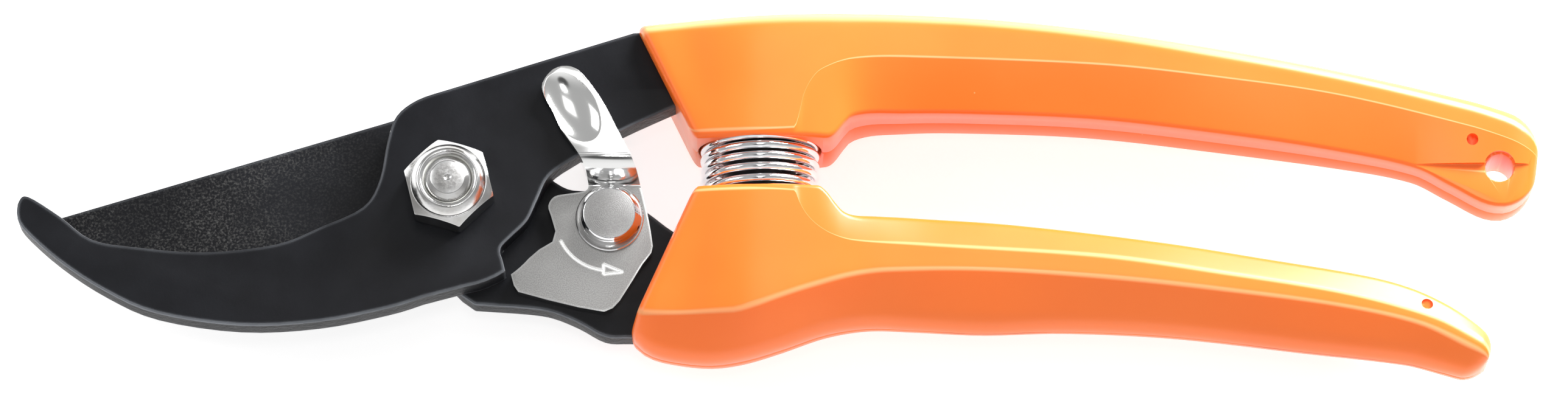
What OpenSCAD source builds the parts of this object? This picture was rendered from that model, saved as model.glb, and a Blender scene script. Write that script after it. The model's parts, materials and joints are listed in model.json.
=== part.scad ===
// Bypass pruning shears, lying closed on their back.
// X runs from the blades to the grips and Z is up. Outlines are drawn from the pivot's centre, and
// heights are counted from the face where the two plates meet, until place() sets them down.

/* [Blades] */
// Distance from the pivot to the hook's tip
head_l = 59; // [45:0.5:75]
// Thickness of the front plate, with the hook
hook_t = 4; // [3:0.1:5]
// Thickness of the rear plate, with the blade
blade_t = 3.6; // [3:0.1:4.5]
// Running gap between the two plates, and under the nut
plate_gap = 0.1; // [0.05:0.01:0.2]
// Radius of the hook's heel round the pivot
heel_r = 13.8; // [13.4:0.1:14]

/* [Pivot] */
// Diameter of the pivot bolt's shank
bolt_d = 6.4; // [5:0.1:8]
// Radial running clearance of a pin in its moving hole
pin_fit = 0.05; // [0.02:0.01:0.1]
// Width across the flats of the nut and of the bolt's head
hex_af = 11; // [10:0.1:13.5]
// Height of the bolt's head
bolt_head_h = 4.2; // [3:0.1:5]
// Height of the nut with its collar
nut_h = 6; // [5:0.1:7.5]
// Width of the nylon ring in the nut's collar
insert_w = 0.9; // [0.6:0.1:1.2]

/* [Lock lever] */
// Thickness of the lever's sheet
lever_t = 1.8; // [1.2:0.1:2.2]
// Gap between the lever's finger and the hook's heel as it swings past
lock_gap = 0.3; // [0.25:0.05:0.5]
// Gap between the lever's arm and the hook plate under it
arm_gap = 0.3; // [0.25:0.05:0.6]
// Diameter of the rivet's shank
rivet_d = 5; // [3.5:0.1:6]
// Diameter of the rivet's head
rivet_head_d = 8.8; // [7.5:0.1:9.2]
// Height of the rivet's head
rivet_head_h = 2.3; // [1.5:0.1:3]
// Thickness of the washer under the head
washer_t = 0.45; // [0.3:0.05:0.8]

/* [Spring] */
// Outer diameter of the return spring
spring_od = 16.3; // [13.5:0.1:19.6]
// Diameter of the spring's wire
wire_d = 1.15; // [0.9:0.05:1.4]
// Turns of the spring
spring_turns = 7.5; // [6:0.5:8.5]
// Depth of the spring's pocket in each grip
pocket_depth = 3; // [2:0.1:4]
// Wall left round a pocket
pocket_wall = 0.6; // [0.5:0.1:1.5]
// Diameter of the rubber bumper inside the spring
bumper_d = 10.4; // [8:0.1:11]

/* [Grips] */
// Length of the upper grip past its boss
upper_l = 93.8; // [75:0.5:115]
// Length of the lower grip past its boss
lower_l = 87.3; // [70:0.5:110]
// Thickness of a grip at its arm
grip_t = 14.6; // [12:0.1:15]
// Diameter of the hang hole
hang_d = 3.9; // [3:0.1:5]
// Diameter of the locating holes near the ends
dowel_d = 1.6; // [1:0.1:2]

/* [Hidden] */
$fn = 64;
slack = 1;
cut_reach = 40;

steel_black = "#2a2c30";
bright_steel = "#b9bbbe";
orange = "#fb8c38";
nylon = "#d8d8d2";
rubber = "#18181a";

// The boss of each grip holds the spring, and the slender arm starts past it
boss_x = 42.3;
boss_flat = 4.5;
low_boss_y = -0.4;
high_boss_y = 6.5;
arm_x = 55;
spring_fit = 0.25;
pocket_r = spring_od / 2 + spring_fit;
boss_half = pocket_r + pocket_wall;
end_half = 7.1;
arm_half = grip_t / 2;
tip_half = arm_half - 1.4;
edge_round = 0.4;
upper_end = arm_x + upper_l;
lower_end = arm_x + lower_l;

// The object is centred over the surface that its bosses rest on
pivot_x = (head_l - upper_end) / 2;
pivot_y = 0.4;
pivot_z = boss_half;

// Heights of the plates, the nut, the lever and the rivet
blade_low = -plate_gap / 2 - blade_t;
hook_low = plate_gap / 2;
hook_top = hook_low + hook_t;
nut_low = hook_top + plate_gap;
nut_top = nut_low + nut_h;
bolt_end = nut_top + 0.4;
lever_low = plate_gap / 2;
lever_top = lever_low + lever_t;
arm_low = hook_top + arm_gap;
arm_top = arm_low + lever_t;
washer_low = lever_top + plate_gap;
rivet_low = washer_low + washer_t;
rivet_tail_h = 1.1;
tail_d = rivet_d + 1.6;

// Places of the rivet, the hang hole and the locating holes
rivet_at = [21.8, -3.45];
hang_at = [upper_end - 5.5, 3.2];
upper_dowel_at = [upper_end - 9.2, 6.9];
lower_dowel_at = [lower_end - 9.4, -16.3];
tang_end_r = 2.3;
// The flat lug round the hang hole
lug_half = 4.1;
lug_l = 17;
lug_edge_y = 3.7;
lug_round_d = 6.8;

// The point at share t of the smooth run from b to c, between the neighbours a and d
function between(a, b, c, d, t) =
    (2 * b + (c - a) * t + (2 * a - 5 * b + 4 * c - d) * t * t + (3 * b - a - 3 * c + d) * t * t * t) / 2;
// A smooth run through the points p, with n steps to each span
function smooth(p, n = 4) = [
    for (i = [0 : len(p) - 2], k = [0 : n - 1])
        between(p[max(i - 1, 0)], p[i], p[i + 1], p[min(i + 2, len(p) - 1)], k / n),
    p[len(p) - 1]
];
// The height at x of the smooth run through the points p, which rise in x
function span(p, x, i = 0) = (i >= len(p) - 2 || x < p[i + 1][0]) ? i : span(p, x, i + 1);
function slope(p, i) =
    let (a = p[max(i - 1, 0)], b = p[min(i + 1, len(p) - 1)]) (b[1] - a[1]) / (b[0] - a[0]);
function height(p, x) =
    let (i = span(p, x), w = p[i + 1][0] - p[i][0], t = (x - p[i][0]) / w, s = 1 - t)
    p[i][1] * (1 + 2 * t) * s * s + p[i + 1][1] * t * t * (3 - 2 * t)
    + slope(p, i) * w * t * s * s - slope(p, i + 1) * w * t * t * s;
// Points round an arc
function arc(c, r, from, to, n = 8) =
    [for (k = [0 : n]) let (a = from + (to - from) * k / n) [c[0] + r * cos(a), c[1] + r * sin(a)]];
// A point of the head, and of each arm, at a share of its length
function head(share, y) = [-head_l * share, y];
function upper(share, y) = [arm_x + upper_l * share, y];
function lower(share, y) = [arm_x + lower_l * share, y];

module place() {
    translate([pivot_x, pivot_y, pivot_z]) children();
}

module slab(low, thick) {
    translate([0, 0, low]) linear_extrude(thick) children();
}

module pin(at, d, low, high) {
    translate([at[0], at[1], low]) cylinder(d = d, h = high - low);
}

// ---- Front plate: hook, pivot body and the tang inside the upper grip ----
module hook_outline() {
    inner = smooth([head(1, -3.2), head(0.996, -1.6), head(0.975, -0.9), head(0.90, -3.7), head(0.825, -7.0),
                    head(0.72, -8.1), head(0.565, -8.8), head(0.40, -7.7), [-17.5, -5.2], [-11.8, -2.4],
                    [-9.6, 1.5], [-8.6, 7], [-7.4, 10.6], [-4.6, 12.9], [-0.7, 14.3]]);
    tang_high = smooth([[25, 22.5], [34, 22.6], [50, 22], [65, 20.6], upper(0.35, 17.8), upper(0.60, 14.8),
                        upper(0.80, 11.8)], 2);
    tang_end = arc(upper_dowel_at, tang_end_r, 70, -110, 6);
    tang_low = smooth([upper(0.80, 6.9), upper(0.60, 10.0), upper(0.35, 12.6), [65, 13.9], [52, 14.4],
                       [40, 13.8], [30.9, 12.0]], 2);
    neck = smooth([[30.9, 12.0], [23.3, 8.4], [17.5, 4.9], [13.6, 2.1], [12, -1.2], [10.6, -4.3], [8.6, -6.4],
                   [7, -8.2], [7.3, -9.8]]);
    heel = arc([0, 0], heel_r, -56, -80, 4);
    belly = smooth([head(0.06, -15.2), head(0.14, -16.7), head(0.30, -18.6), head(0.48, -19.1),
                    head(0.67, -17.4), head(0.79, -14.3), head(0.90, -10.0), head(0.985, -5.4),
                    head(1, -3.2)]);
    polygon(concat(inner, tang_high, tang_end, tang_low, neck, heel, belly));
}

module hook_blank() {
    slab(hook_low, hook_t) hook_outline();
}

module hook_plate() {
    color(steel_black) place() difference() {
        hook_blank();
        pin([0, 0], bolt_d + 2 * pin_fit, hook_low - slack, hook_top + slack);
    }
}

// ---- Rear plate: blade, pivot body and the tang inside the lower grip ----
module blade_outline() {
    back = smooth([[-9.5, 10.7], [-3, 12.4], [4, 11.6], [9.5, 7.8], [12.8, 3.6], [15.9, 1.4], [19.5, 1.0],
                   [23.5, 0.1], [26.9, -2.0], [30.3, -4.6], [34, -6.6], [42, -7.6], [52, -8.3], [65, -8.5]]);
    tang_high = smooth([[65, -8.5], lower(0.35, -9.9), lower(0.60, -12.6), lower(0.80, -15.0)], 2);
    tang_end = arc(lower_dowel_at, tang_end_r, 70, -110, 6);
    tang_low = smooth([lower(0.80, -19.4), lower(0.60, -17.6), lower(0.35, -15.9), [65, -15.4],
                       [52, -16.2], [40, -18.8], [30, -19.9]], 2);
    under = smooth([[30, -19.9], [24.6, -19.8], [21.2, -19.6], [17.7, -17.7], [14.1, -16.2], [10.5, -15.6],
                    [3.4, -15.1]]);
    heel = [[1.6, -13.8], [-1.5, -10.6]];
    edge = smooth([[-4, -10.3], head(0.20, -12.0), head(0.37, -12.9), head(0.56, -12.3), head(0.73, -9.9),
                   head(0.865, -6.6), head(0.945, -3.5)]);
    polygon(concat(back, tang_high, tang_end, tang_low, under, heel, edge));
}

module blade_blank() {
    slab(blade_low, blade_t) blade_outline();
}

module blade_plate() {
    color(steel_black) place() difference() {
        blade_blank();
        pin([0, 0], bolt_d, blade_low - slack, slack);
        pin(rivet_at, rivet_d, blade_low - slack, slack);
    }
}

// ---- Grips: each is a loft through eight-sided sections, its sides given by smooth lines ----
boss_rise = [[20, end_half], [31, end_half + 0.3], [boss_x - boss_flat, boss_half], [boss_x, boss_half],
             [boss_x + boss_flat, boss_half], [56, arm_half + 0.9], [70, arm_half + 0.2]];

// back and fore are the outer and inner sides, out_edge and in_edge the edges of the front face,
// face its height, and back_half and fore_half the half heights of the outer and inner walls
module grip_loft(at, back, out_edge, in_edge, fore, face, back_half, fore_half) {
    rings = [for (x = at)
        let (o = height(back, x), a = height(out_edge, x), b = height(in_edge, x), i = height(fore, x),
             f = height(face, x), p = height(back_half, x), q = height(fore_half, x))
        [[x, o, p], [x, a, f], [x, b, f], [x, i, q], [x, i, -q], [x, b, -f], [x, a, -f], [x, o, -p]]];
    sides = 8;
    last = len(at) - 1;
    polyhedron(
        points = [for (r = rings) each r],
        faces = concat(
            [[for (k = [0 : sides - 1]) k]],
            [[for (k = [sides - 1 : -1 : 0]) last * sides + k]],
            [for (j = [0 : last - 1], k = [0 : sides - 1])
                let (m = (k + 1) % sides)
                each [[j * sides + k, (j + 1) * sides + m, j * sides + m],
                      [j * sides + k, (j + 1) * sides + k, (j + 1) * sides + m]]]
        )
    );
}

// A half space past the line from one point to another, to slope the end of a boss
module boss_cut(from, to) {
    turn = atan2(to[1] - from[1], to[0] - from[0]);
    translate([from[0], from[1], 0]) rotate([0, 0, turn])
        translate([-cut_reach, 0, -cut_reach / 2]) cube([3 * cut_reach, cut_reach, cut_reach]);
}

// The spring's pocket, sunk into a boss in the direction side from the face at y
module spring_pocket(y, side) {
    low = side > 0 ? y - slack : y - pocket_depth;
    translate([boss_x, low, 0]) rotate([-90, 0, 0]) cylinder(r = pocket_r, h = pocket_depth + slack);
}

boss_at = [20, 26, 32, boss_x - boss_flat, boss_x, boss_x + boss_flat, 48, 49, 50, 51.2, 52.2, 53.4, arm_x, 58];

module upper_grip() {
    at = concat(boss_at, [for (s = [0.09, 0.2, 0.32, 0.45, 0.58, 0.70, 0.80, 0.87, 0.92, 0.96, 0.985, 1])
        upper(s, 0)[0]]);
    back = [[20, 22.4], [27, 23.3], [40, 24.4], [arm_x, 24.9], upper(0.18, 24.3), upper(0.35, 22.7),
            upper(0.53, 20.1), upper(0.71, 16.9), upper(0.90, 12.8), upper(0.97, 10.6), upper(1, 7.6)];
    out_edge = [[20, 20.8], [27, 21.7], [40, 22.8], [arm_x, 23.3], upper(0.18, 22.7), upper(0.35, 21.1),
                upper(0.53, 18.5), upper(0.71, 15.3), upper(0.90, 11.0), upper(0.97, 8.8), upper(1, 6.6)];
    in_edge = [[20, high_boss_y + 0.8], [47.2, high_boss_y + 0.8], [48, 10.8], [49.3, 14.2], [50.8, 15.8],
               [arm_x, 17.6], [63, 18.0], upper(0.35, 17.1), upper(0.53, 15.3), upper(0.71, 12.9),
               upper(0.90, 8.7), upper(0.97, 6.6), upper(1, 5.4)];
    fore = [[20, high_boss_y], [51.2, high_boss_y], [52.4, 7.0], [arm_x, 9.9], [62, 10.6], upper(0.18, 10.6),
            upper(0.35, 9.9), upper(0.53, 7.9), upper(0.71, 5.4), upper(0.82, 3.2), upper(0.87, 0.7),
            upper(0.93, -2.1), upper(0.955, -1.7), upper(0.985, 1.2), upper(1, 4.4)];
    face = concat(boss_rise, [upper(0.5, arm_half), upper(0.9, tip_half), upper(1, tip_half - 0.6)]);
    back_half = [[20, 5], [arm_x, 5], upper(0.9, 4), upper(1, 3.2)];
    fore_half = [[20, end_half - edge_round], [33, end_half], [boss_x - boss_flat, boss_half - edge_round],
                 [boss_x + boss_flat, boss_half - edge_round], [52, arm_half], [58, 5.2], upper(0.6, 5),
                 upper(0.82, lug_half), upper(1, lug_half)];
    color(orange) place() difference() {
        grip_loft(at, back, out_edge, in_edge, fore, face, back_half, fore_half);
        boss_cut([33.4, high_boss_y], [25.8, 22.2]);
        hook_blank();
        spring_pocket(high_boss_y, 1);
        pin(hang_at, hang_d, -boss_half, boss_half);
        for (low = [lug_half, -lug_half - boss_half]) {
            translate([upper_end - lug_l, lug_edge_y - cut_reach, low])
                cube([lug_l + slack, cut_reach, boss_half]);
            pin(hang_at, lug_round_d, low, low + boss_half);
        }
        pin(upper_dowel_at, dowel_d, -boss_half, boss_half);
    }
}

module lower_grip() {
    at = concat(boss_at, [for (s = [0.09, 0.2, 0.32, 0.45, 0.58, 0.70, 0.80, 0.87, 0.93, 0.965, 1])
        lower(s, 0)[0]]);
    fore = [[20, low_boss_y], [50.2, low_boss_y], [51.4, -1.2], [52.4, -2.5], [53.6, -3.8], [arm_x, -4.3],
            [58, -4.3], lower(0.1, -4.4), lower(0.25, -5.2), lower(0.48, -7.6), lower(0.64, -9.8),
            lower(0.80, -12.1), lower(0.87, -13.8), lower(0.93, -16.3), lower(0.97, -18.8), lower(1, -21.4)];
    in_edge = [[20, low_boss_y - 0.8], [47.2, low_boss_y - 0.8], [48.3, -3.9], [50, -6.0], [52.1, -7.4],
               [arm_x, -8.2], lower(0.1, -8.6), lower(0.38, -10.1), lower(0.57, -12.4), lower(0.76, -15.0),
               lower(0.9, -18.2), lower(0.96, -20.6), lower(1, -22.6)];
    out_edge = [[20, -18.0], [38.6, -18.2], [41.5, -17.5], [45, -16.2], [49, -14.8], [arm_x, -13.0],
                [60, -12.3], lower(0.2, -12.1), lower(0.38, -13.1), lower(0.57, -14.8), lower(0.76, -16.9),
                lower(0.88, -19.2), lower(0.96, -22.4), lower(1, -23.6)];
    back = [[20, -18.6], [24.4, -20.1], [27, -22.2], [30, -23.2], [35.5, -23.8], [40, -23.2], [45, -21.7],
            [51.3, -19.5], [57, -18.6], [63, -18.8], lower(0.2, -19.3), lower(0.33, -19.0),
            lower(0.5, -19.7), lower(0.7, -21.8), lower(0.86, -23.5), lower(0.92, -24.8),
            lower(0.97, -25.8), lower(1, -24.2)];
    face = concat(boss_rise, [lower(0.5, arm_half), lower(0.9, tip_half), lower(1, tip_half - 0.6)]);
    back_half = [[20, 3.6], [arm_x, 3.6], lower(0.9, 3.2), lower(1, 2.8)];
    fore_half = [[20, end_half - edge_round], [33, end_half], [boss_x - boss_flat, boss_half - edge_round],
                 [boss_x + boss_flat, boss_half - edge_round], [52, arm_half], [58, 5.2], lower(0.6, 5),
                 lower(0.88, 4.1), lower(1, 3.6)];
    color(orange) place() difference() {
        mirror([0, 1, 0]) grip_loft(at, [for (p = back) [p[0], -p[1]]], [for (p = out_edge) [p[0], -p[1]]],
            [for (p = in_edge) [p[0], -p[1]]], [for (p = fore) [p[0], -p[1]]], face, back_half, fore_half);
        boss_cut([25.4, -18.3], [33.4, low_boss_y]);
        blade_blank();
        spring_pocket(low_boss_y, -1);
        pin(lower_dowel_at, dowel_d, -boss_half, boss_half);
    }
}

// ---- Pivot: bolt from behind, lock nut in front ----
hex_turn = 44;
hex_r = hex_af / 2 / cos(30);
chamfer = 0.7;
collar_low = nut_h - 1.6;
collar_r = hex_af / 2 - 0.35;
lip_r = bolt_d / 2 + insert_w;

module pivot_bolt() {
    color(bright_steel) place() {
        pin([0, 0], bolt_d, blade_low - bolt_head_h / 2, bolt_end - chamfer);
        translate([0, 0, bolt_end - chamfer])
            cylinder(r1 = bolt_d / 2, r2 = bolt_d / 2 - chamfer, h = chamfer);
        intersection() {
            translate([0, 0, blade_low - bolt_head_h]) rotate([0, 0, hex_turn])
                cylinder(r = hex_r, h = bolt_head_h, $fn = 6);
            translate([0, 0, blade_low - bolt_head_h]) rotate_extrude()
                polygon([[0, 0], [hex_r - chamfer, 0], [hex_r + 0.1, chamfer], [hex_r + 0.1, bolt_head_h],
                         [0, bolt_head_h]]);
        }
    }
}

module pivot_nut() {
    color(bright_steel) place() translate([0, 0, nut_low]) difference() {
        union() {
            intersection() {
                rotate([0, 0, hex_turn]) cylinder(r = hex_r, h = collar_low, $fn = 6);
                rotate_extrude() polygon([[0, 0], [hex_r + 0.1, 0], [hex_r + 0.1, collar_low - chamfer],
                                          [hex_r - 2 * chamfer, collar_low], [0, collar_low]]);
            }
            rotate_extrude() polygon([[0, 0], [collar_r, 0], [collar_r, nut_h - chamfer],
                                      [collar_r - chamfer, nut_h], [0, nut_h]]);
        }
        translate([0, 0, -slack]) cylinder(d = bolt_d, h = nut_h + 2 * slack);
        translate([0, 0, collar_low]) cylinder(r = lip_r, h = nut_h);
    }
}

module nut_insert() {
    color(nylon) place() translate([0, 0, nut_low + collar_low]) difference() {
        cylinder(r = lip_r, h = nut_h - collar_low - 0.5);
        translate([0, 0, -slack]) cylinder(d = bolt_d, h = nut_h);
    }
}

// ---- Lock lever: flat body with two fingers, a step up and an arm over the hook plate ----
module lever_outline() {
    upper_finger = smooth([[14.4, -5.2], [13.8, -3.1], [13.4, -1.6], [14.2, -0.3], [16, 0.1], [18.4, 0.5],
                           [18.9, 1.2]], 3);
    arm = smooth([[18.6, 2.6], [17.6, 4.6], [15.5, 7.6], [14.8, 8.9], [13.9, 11.0], [12.8, 12.9],
                  [12.6, 14.7], [14.0, 16.6], [15.9, 17.1], [17.7, 16.3], [20, 13.4], [21.5, 10.8],
                  [22.8, 8.2], [24.6, 4.6], [25.8, 1.8], [26.9, -2.6], [27.4, -5.2]], 3);
    body = [[27.7, -7.3], [27.5, -8.3], [26.3, -9.9], [24.9, -12.3], [23.2, -15.1], [22.3, -16.1],
            [21.1, -16.6], [17.7, -16.0], [13.0, -14.8], [9.4, -13.8], [8.8, -12.9]];
    lower_finger = arc([0, 0], heel_r + lock_gap, -53.5, -40, 4);
    polygon(concat(upper_finger, arm, body, lower_finger, [[12.2, -7.8], [14, -6.7]]));
}

// The lever's side: flat, up through a step of two equal bends, then level again
step_foot = 0.9;
step_angle = 65;
bend_r = lever_t / 2 + 0.6;
step_rise = arm_low - lever_low;
step_flank = (step_rise - 2 * bend_r * (1 - cos(step_angle))) / sin(step_angle);
step_run = 2 * bend_r * sin(step_angle) + step_flank * cos(step_angle);

module lever_side() {
    half = lever_t / 2;
    foot = [step_foot, half + bend_r];
    brow = [step_foot + step_run, step_rise + half - bend_r];
    polygon(concat(
        [[-cut_reach, 0]],
        arc(foot, bend_r + half, -90, step_angle - 90), arc(brow, bend_r - half, 90 + step_angle, 90),
        [[cut_reach, step_rise], [cut_reach, step_rise + lever_t]],
        arc(brow, bend_r + half, 90, 90 + step_angle), arc(foot, bend_r - half, step_angle - 90, -90),
        [[-cut_reach, lever_t]]
    ));
}

module lock_lever() {
    color(bright_steel) place() difference() {
        intersection() {
            slab(lever_low, arm_top - lever_low) lever_outline();
            translate([0, 0, lever_low]) rotate([90, 0, 90]) linear_extrude(cut_reach) lever_side();
        }
        pin(rivet_at, rivet_d + 2 * pin_fit, lever_low - slack, lever_top + slack);
    }
}

// ---- Rivet and its washer ----
module lever_rivet() {
    color(bright_steel) place() {
        pin(rivet_at, rivet_d, blade_low - rivet_tail_h / 2, rivet_low + rivet_head_h / 2);
        translate([rivet_at[0], rivet_at[1], rivet_low]) rotate_extrude()
            polygon([[0, 0], [rivet_head_d / 2, 0], [rivet_head_d / 2, 0.5],
                     [rivet_head_d / 2 - 0.9, rivet_head_h], [0, rivet_head_h]]);
        translate([rivet_at[0], rivet_at[1], blade_low - rivet_tail_h])
            cylinder(d1 = tail_d - 1.4, d2 = tail_d, h = rivet_tail_h);
    }
}

module rivet_washer() {
    color(bright_steel) place() difference() {
        pin(rivet_at, rivet_head_d + 0.5, washer_low, washer_low + washer_t);
        pin(rivet_at, rivet_d, washer_low - slack, rivet_low + slack);
    }
}

// ---- Return spring: its turns close up towards the upper grip ----
spring_low = low_boss_y - pocket_depth + 0.05;
spring_high = high_boss_y + pocket_depth - 0.05;
coil_r = (spring_od - wire_d) / 2;
tight = 0.8;

function coil_point(share) =
    let (a = 360 * spring_turns * share - 90,
         y = spring_high - wire_d / 2
             - (spring_high - spring_low - wire_d) * (tight * share + (1 - tight) * share * share))
    [boss_x + coil_r * cos(a), y, coil_r * sin(a)];

module return_spring() {
    steps = round(spring_turns * 24);
    sides = 6;
    rings = [for (j = [0 : steps])
        let (c = coil_point(j / steps), out = [c[0] - boss_x, 0, c[2]] / coil_r)
        for (k = [0 : sides - 1])
            let (a = 360 * k / sides)
            c + wire_d / 2 * (cos(a) * out + sin(a) * [0, 1, 0])];
    color(bright_steel) place() polyhedron(
        points = rings,
        faces = concat(
            [[for (k = [sides - 1 : -1 : 0]) k]],
            [[for (k = [0 : sides - 1]) steps * sides + k]],
            [for (j = [0 : steps - 1], k = [0 : sides - 1])
                let (m = (k + 1) % sides)
                each [[j * sides + k, j * sides + m, (j + 1) * sides + m],
                      [j * sides + k, (j + 1) * sides + m, (j + 1) * sides + k]]]
        )
    );
}

// ---- Rubber bumper: stands in the lower pocket, inside the spring ----
module spring_bumper() {
    low = low_boss_y - pocket_depth;
    tall = high_boss_y + pocket_depth - 0.4 - low;
    crown = 1.2;
    color(rubber) place() translate([boss_x, low, 0]) rotate([-90, 0, 0]) rotate_extrude()
        polygon([[0, 0], [bumper_d / 2, 0], [bumper_d / 2, tall - crown], [bumper_d / 2 - crown, tall], [0, tall]]);
}

hook_plate();
blade_plate();
upper_grip();
lower_grip();
pivot_bolt();
pivot_nut();
nut_insert();
lock_lever();
lever_rivet();
rivet_washer();
return_spring();
spring_bumper();
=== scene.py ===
import json
import math

import bpy
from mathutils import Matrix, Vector


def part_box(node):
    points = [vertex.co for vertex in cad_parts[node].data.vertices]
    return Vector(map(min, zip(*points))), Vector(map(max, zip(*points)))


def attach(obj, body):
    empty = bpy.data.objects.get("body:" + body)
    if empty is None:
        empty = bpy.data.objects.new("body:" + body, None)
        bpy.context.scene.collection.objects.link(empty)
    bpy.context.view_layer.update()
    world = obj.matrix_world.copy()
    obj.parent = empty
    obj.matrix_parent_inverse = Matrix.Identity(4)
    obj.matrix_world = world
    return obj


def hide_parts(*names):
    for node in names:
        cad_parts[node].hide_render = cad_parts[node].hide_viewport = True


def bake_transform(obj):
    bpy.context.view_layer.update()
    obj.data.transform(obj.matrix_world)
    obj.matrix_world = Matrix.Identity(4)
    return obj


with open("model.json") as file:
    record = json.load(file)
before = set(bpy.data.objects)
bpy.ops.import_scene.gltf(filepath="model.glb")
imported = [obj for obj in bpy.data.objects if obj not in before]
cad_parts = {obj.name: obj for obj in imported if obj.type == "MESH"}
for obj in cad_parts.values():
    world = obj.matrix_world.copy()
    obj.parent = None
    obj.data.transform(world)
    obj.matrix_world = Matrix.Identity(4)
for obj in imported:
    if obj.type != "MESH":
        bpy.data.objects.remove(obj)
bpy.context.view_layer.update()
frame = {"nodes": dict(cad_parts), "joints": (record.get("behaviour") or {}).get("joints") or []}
MM = 0.001

# ---- Table, light and camera ----
# The shears lie closed on their back on a white table with a lit top. A low soft window at the right
# lights them, a pale panel overhead shows in the flat polished faces, and the camera looks down from
# 74 degrees.
hinge = Vector(frame["joints"][0]["pos_m"])
view_target = Vector((0.0007, -0.0002, hinge.z))
view_height = math.radians(74)
view_distance = 1.0
view_width = 0.2147

bpy.ops.object.select_all(action="DESELECT")
bpy.ops.mesh.primitive_plane_add(size=3, location=(0, 0, 0))
table = bpy.context.object
table.name = "table_top"
table_white = bpy.data.materials.new("white_table")
table_white.use_nodes = True
table_shader = table_white.node_tree.nodes["Principled BSDF"]
table_shader.inputs["Base Color"].default_value = (0.55, 0.55, 0.55, 1)
table_shader.inputs["Roughness"].default_value = 0.9
table_shader.inputs["Emission Color"].default_value = (1, 1, 1, 1)
table_shader.inputs["Emission Strength"].default_value = 0.76
table.data.materials.append(table_white)

camera_at = view_target + view_distance * Vector((0, -math.cos(view_height), math.sin(view_height)))
bpy.ops.object.camera_add(location=camera_at, rotation=(math.pi / 2 - view_height, 0, 0))
camera = bpy.context.object
camera.name = "camera"
camera.data.lens = camera.data.sensor_width * view_distance / view_width
camera.data.clip_start = 0.01
bpy.context.scene.camera = camera


def soft_light(name, at, size, watts):
    """A square area light of that size in metres, turned to the shears."""
    toward = (view_target - Vector(at)).to_track_quat("-Z", "Y").to_euler()
    bpy.ops.object.light_add(type="AREA", location=at, rotation=toward)
    light = bpy.context.object
    light.name = name
    light.data.size = size
    light.data.energy = watts


soft_light("window_light", (0.42, 0.50, 0.28), 0.45, 19)
soft_light("left_light", (-0.9, 0.35, 0.7), 0.6, 3)
soft_light("lamp_overhead", (0.02, -0.10, 1.1), 0.15, 0.7)
soft_light("panel_overhead", (0.03, 0.2756, 0.9613), 0.26, 0.34)

world = bpy.data.worlds.new("white_room")
bpy.context.scene.world = world
world.use_nodes = True
sky = world.node_tree.nodes["Background"]
sky.inputs["Color"].default_value = (1, 1, 1, 1)
room = world.node_tree
room_way = room.nodes.new("ShaderNodeTexCoord").outputs["Generated"]


def room_part(toward, start, end, low, high):
    """A strength that runs from low to high as a direction turns to face one way."""
    facing = room.nodes.new("ShaderNodeVectorMath")
    facing.operation = "DOT_PRODUCT"
    facing.inputs[1].default_value = Vector(toward).normalized()
    room.links.new(room_way, facing.inputs[0])
    fall = room.nodes.new("ShaderNodeMapRange")
    fall.interpolation_type = "SMOOTHSTEP"
    for label, value in (("From Min", start), ("From Max", end), ("To Min", low), ("To Max", high)):
        fall.inputs[label].default_value = value
    room.links.new(facing.outputs["Value"], fall.inputs["Value"])
    return fall.outputs["Result"]


# The room is brightest on the camera's side, and a dark ceiling shows in what faces straight up.
room_light = room.nodes.new("ShaderNodeMath")
room_light.operation = "MULTIPLY"
room.links.new(room_part((0.1, -1.0, 0.15), 0.3, 1.0, 0.43, 0.97), room_light.inputs[0])
room.links.new(room_part((0, -0.34, 0.94), 0.965, 0.99, 1.0, 0.12), room_light.inputs[1])
room.links.new(room_light.outputs["Value"], sky.inputs["Strength"])
bpy.context.scene.view_settings.view_transform = "Standard"

# ---- Hook plate ----
# Front plate with the hooked counter blade: 4 mm steel, blanked in one piece from the hook's tip to
# the tang that the upper grip is moulded on, its edges tumbled round, then coated satin black.
plate_round = 0.75 * MM


def only(piece):
    """Selects one piece and nothing else."""
    bpy.ops.object.select_all(action="DESELECT")
    piece.hide_viewport = False
    piece.select_set(True)
    bpy.context.view_layer.objects.active = piece


def apply_modifiers(piece):
    only(piece)
    for modifier in list(piece.modifiers):
        bpy.ops.object.modifier_apply(modifier=modifier.name)


def blank_from(node, name):
    """A new piece with the shape of a CAD node, its loose triangles merged into flat faces."""
    only(frame["nodes"][node])
    bpy.ops.object.duplicate()
    piece = bpy.context.object
    piece.parent = None
    for key in list(piece.keys()):
        del piece[key]
    piece.name = piece.data.name = name
    piece.data.materials.clear()
    bpy.ops.mesh.customdata_custom_splitnormals_clear()
    bpy.ops.object.mode_set(mode="EDIT")
    bpy.ops.mesh.select_all(action="SELECT")
    bpy.ops.mesh.remove_doubles(threshold=0.002 * MM)
    bpy.ops.mesh.dissolve_limited(angle_limit=math.radians(0.4))
    bpy.ops.object.mode_set(mode="OBJECT")
    return piece


def round_edges(piece, width, segments=3, turn=28):
    """Rounds every edge of a piece that turns by more than that many degrees."""
    bevel = piece.modifiers.new("round_edges", "BEVEL")
    bevel.width = width
    bevel.segments = segments
    bevel.limit_method = "ANGLE"
    bevel.angle_limit = math.radians(turn)
    apply_modifiers(piece)


def assemble(piece, material, body, slot, *nodes, turn=38):
    """Shades a piece, gives it its material, and ties it to its CAD nodes and body, if it has one. The slot
    is not used.
    """
    only(piece)
    bpy.ops.object.shade_smooth_by_angle(angle=math.radians(turn))
    piece.data.materials.clear()
    piece.data.materials.append(material)
    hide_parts(*nodes)
    if body:
        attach(piece, body)


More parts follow.
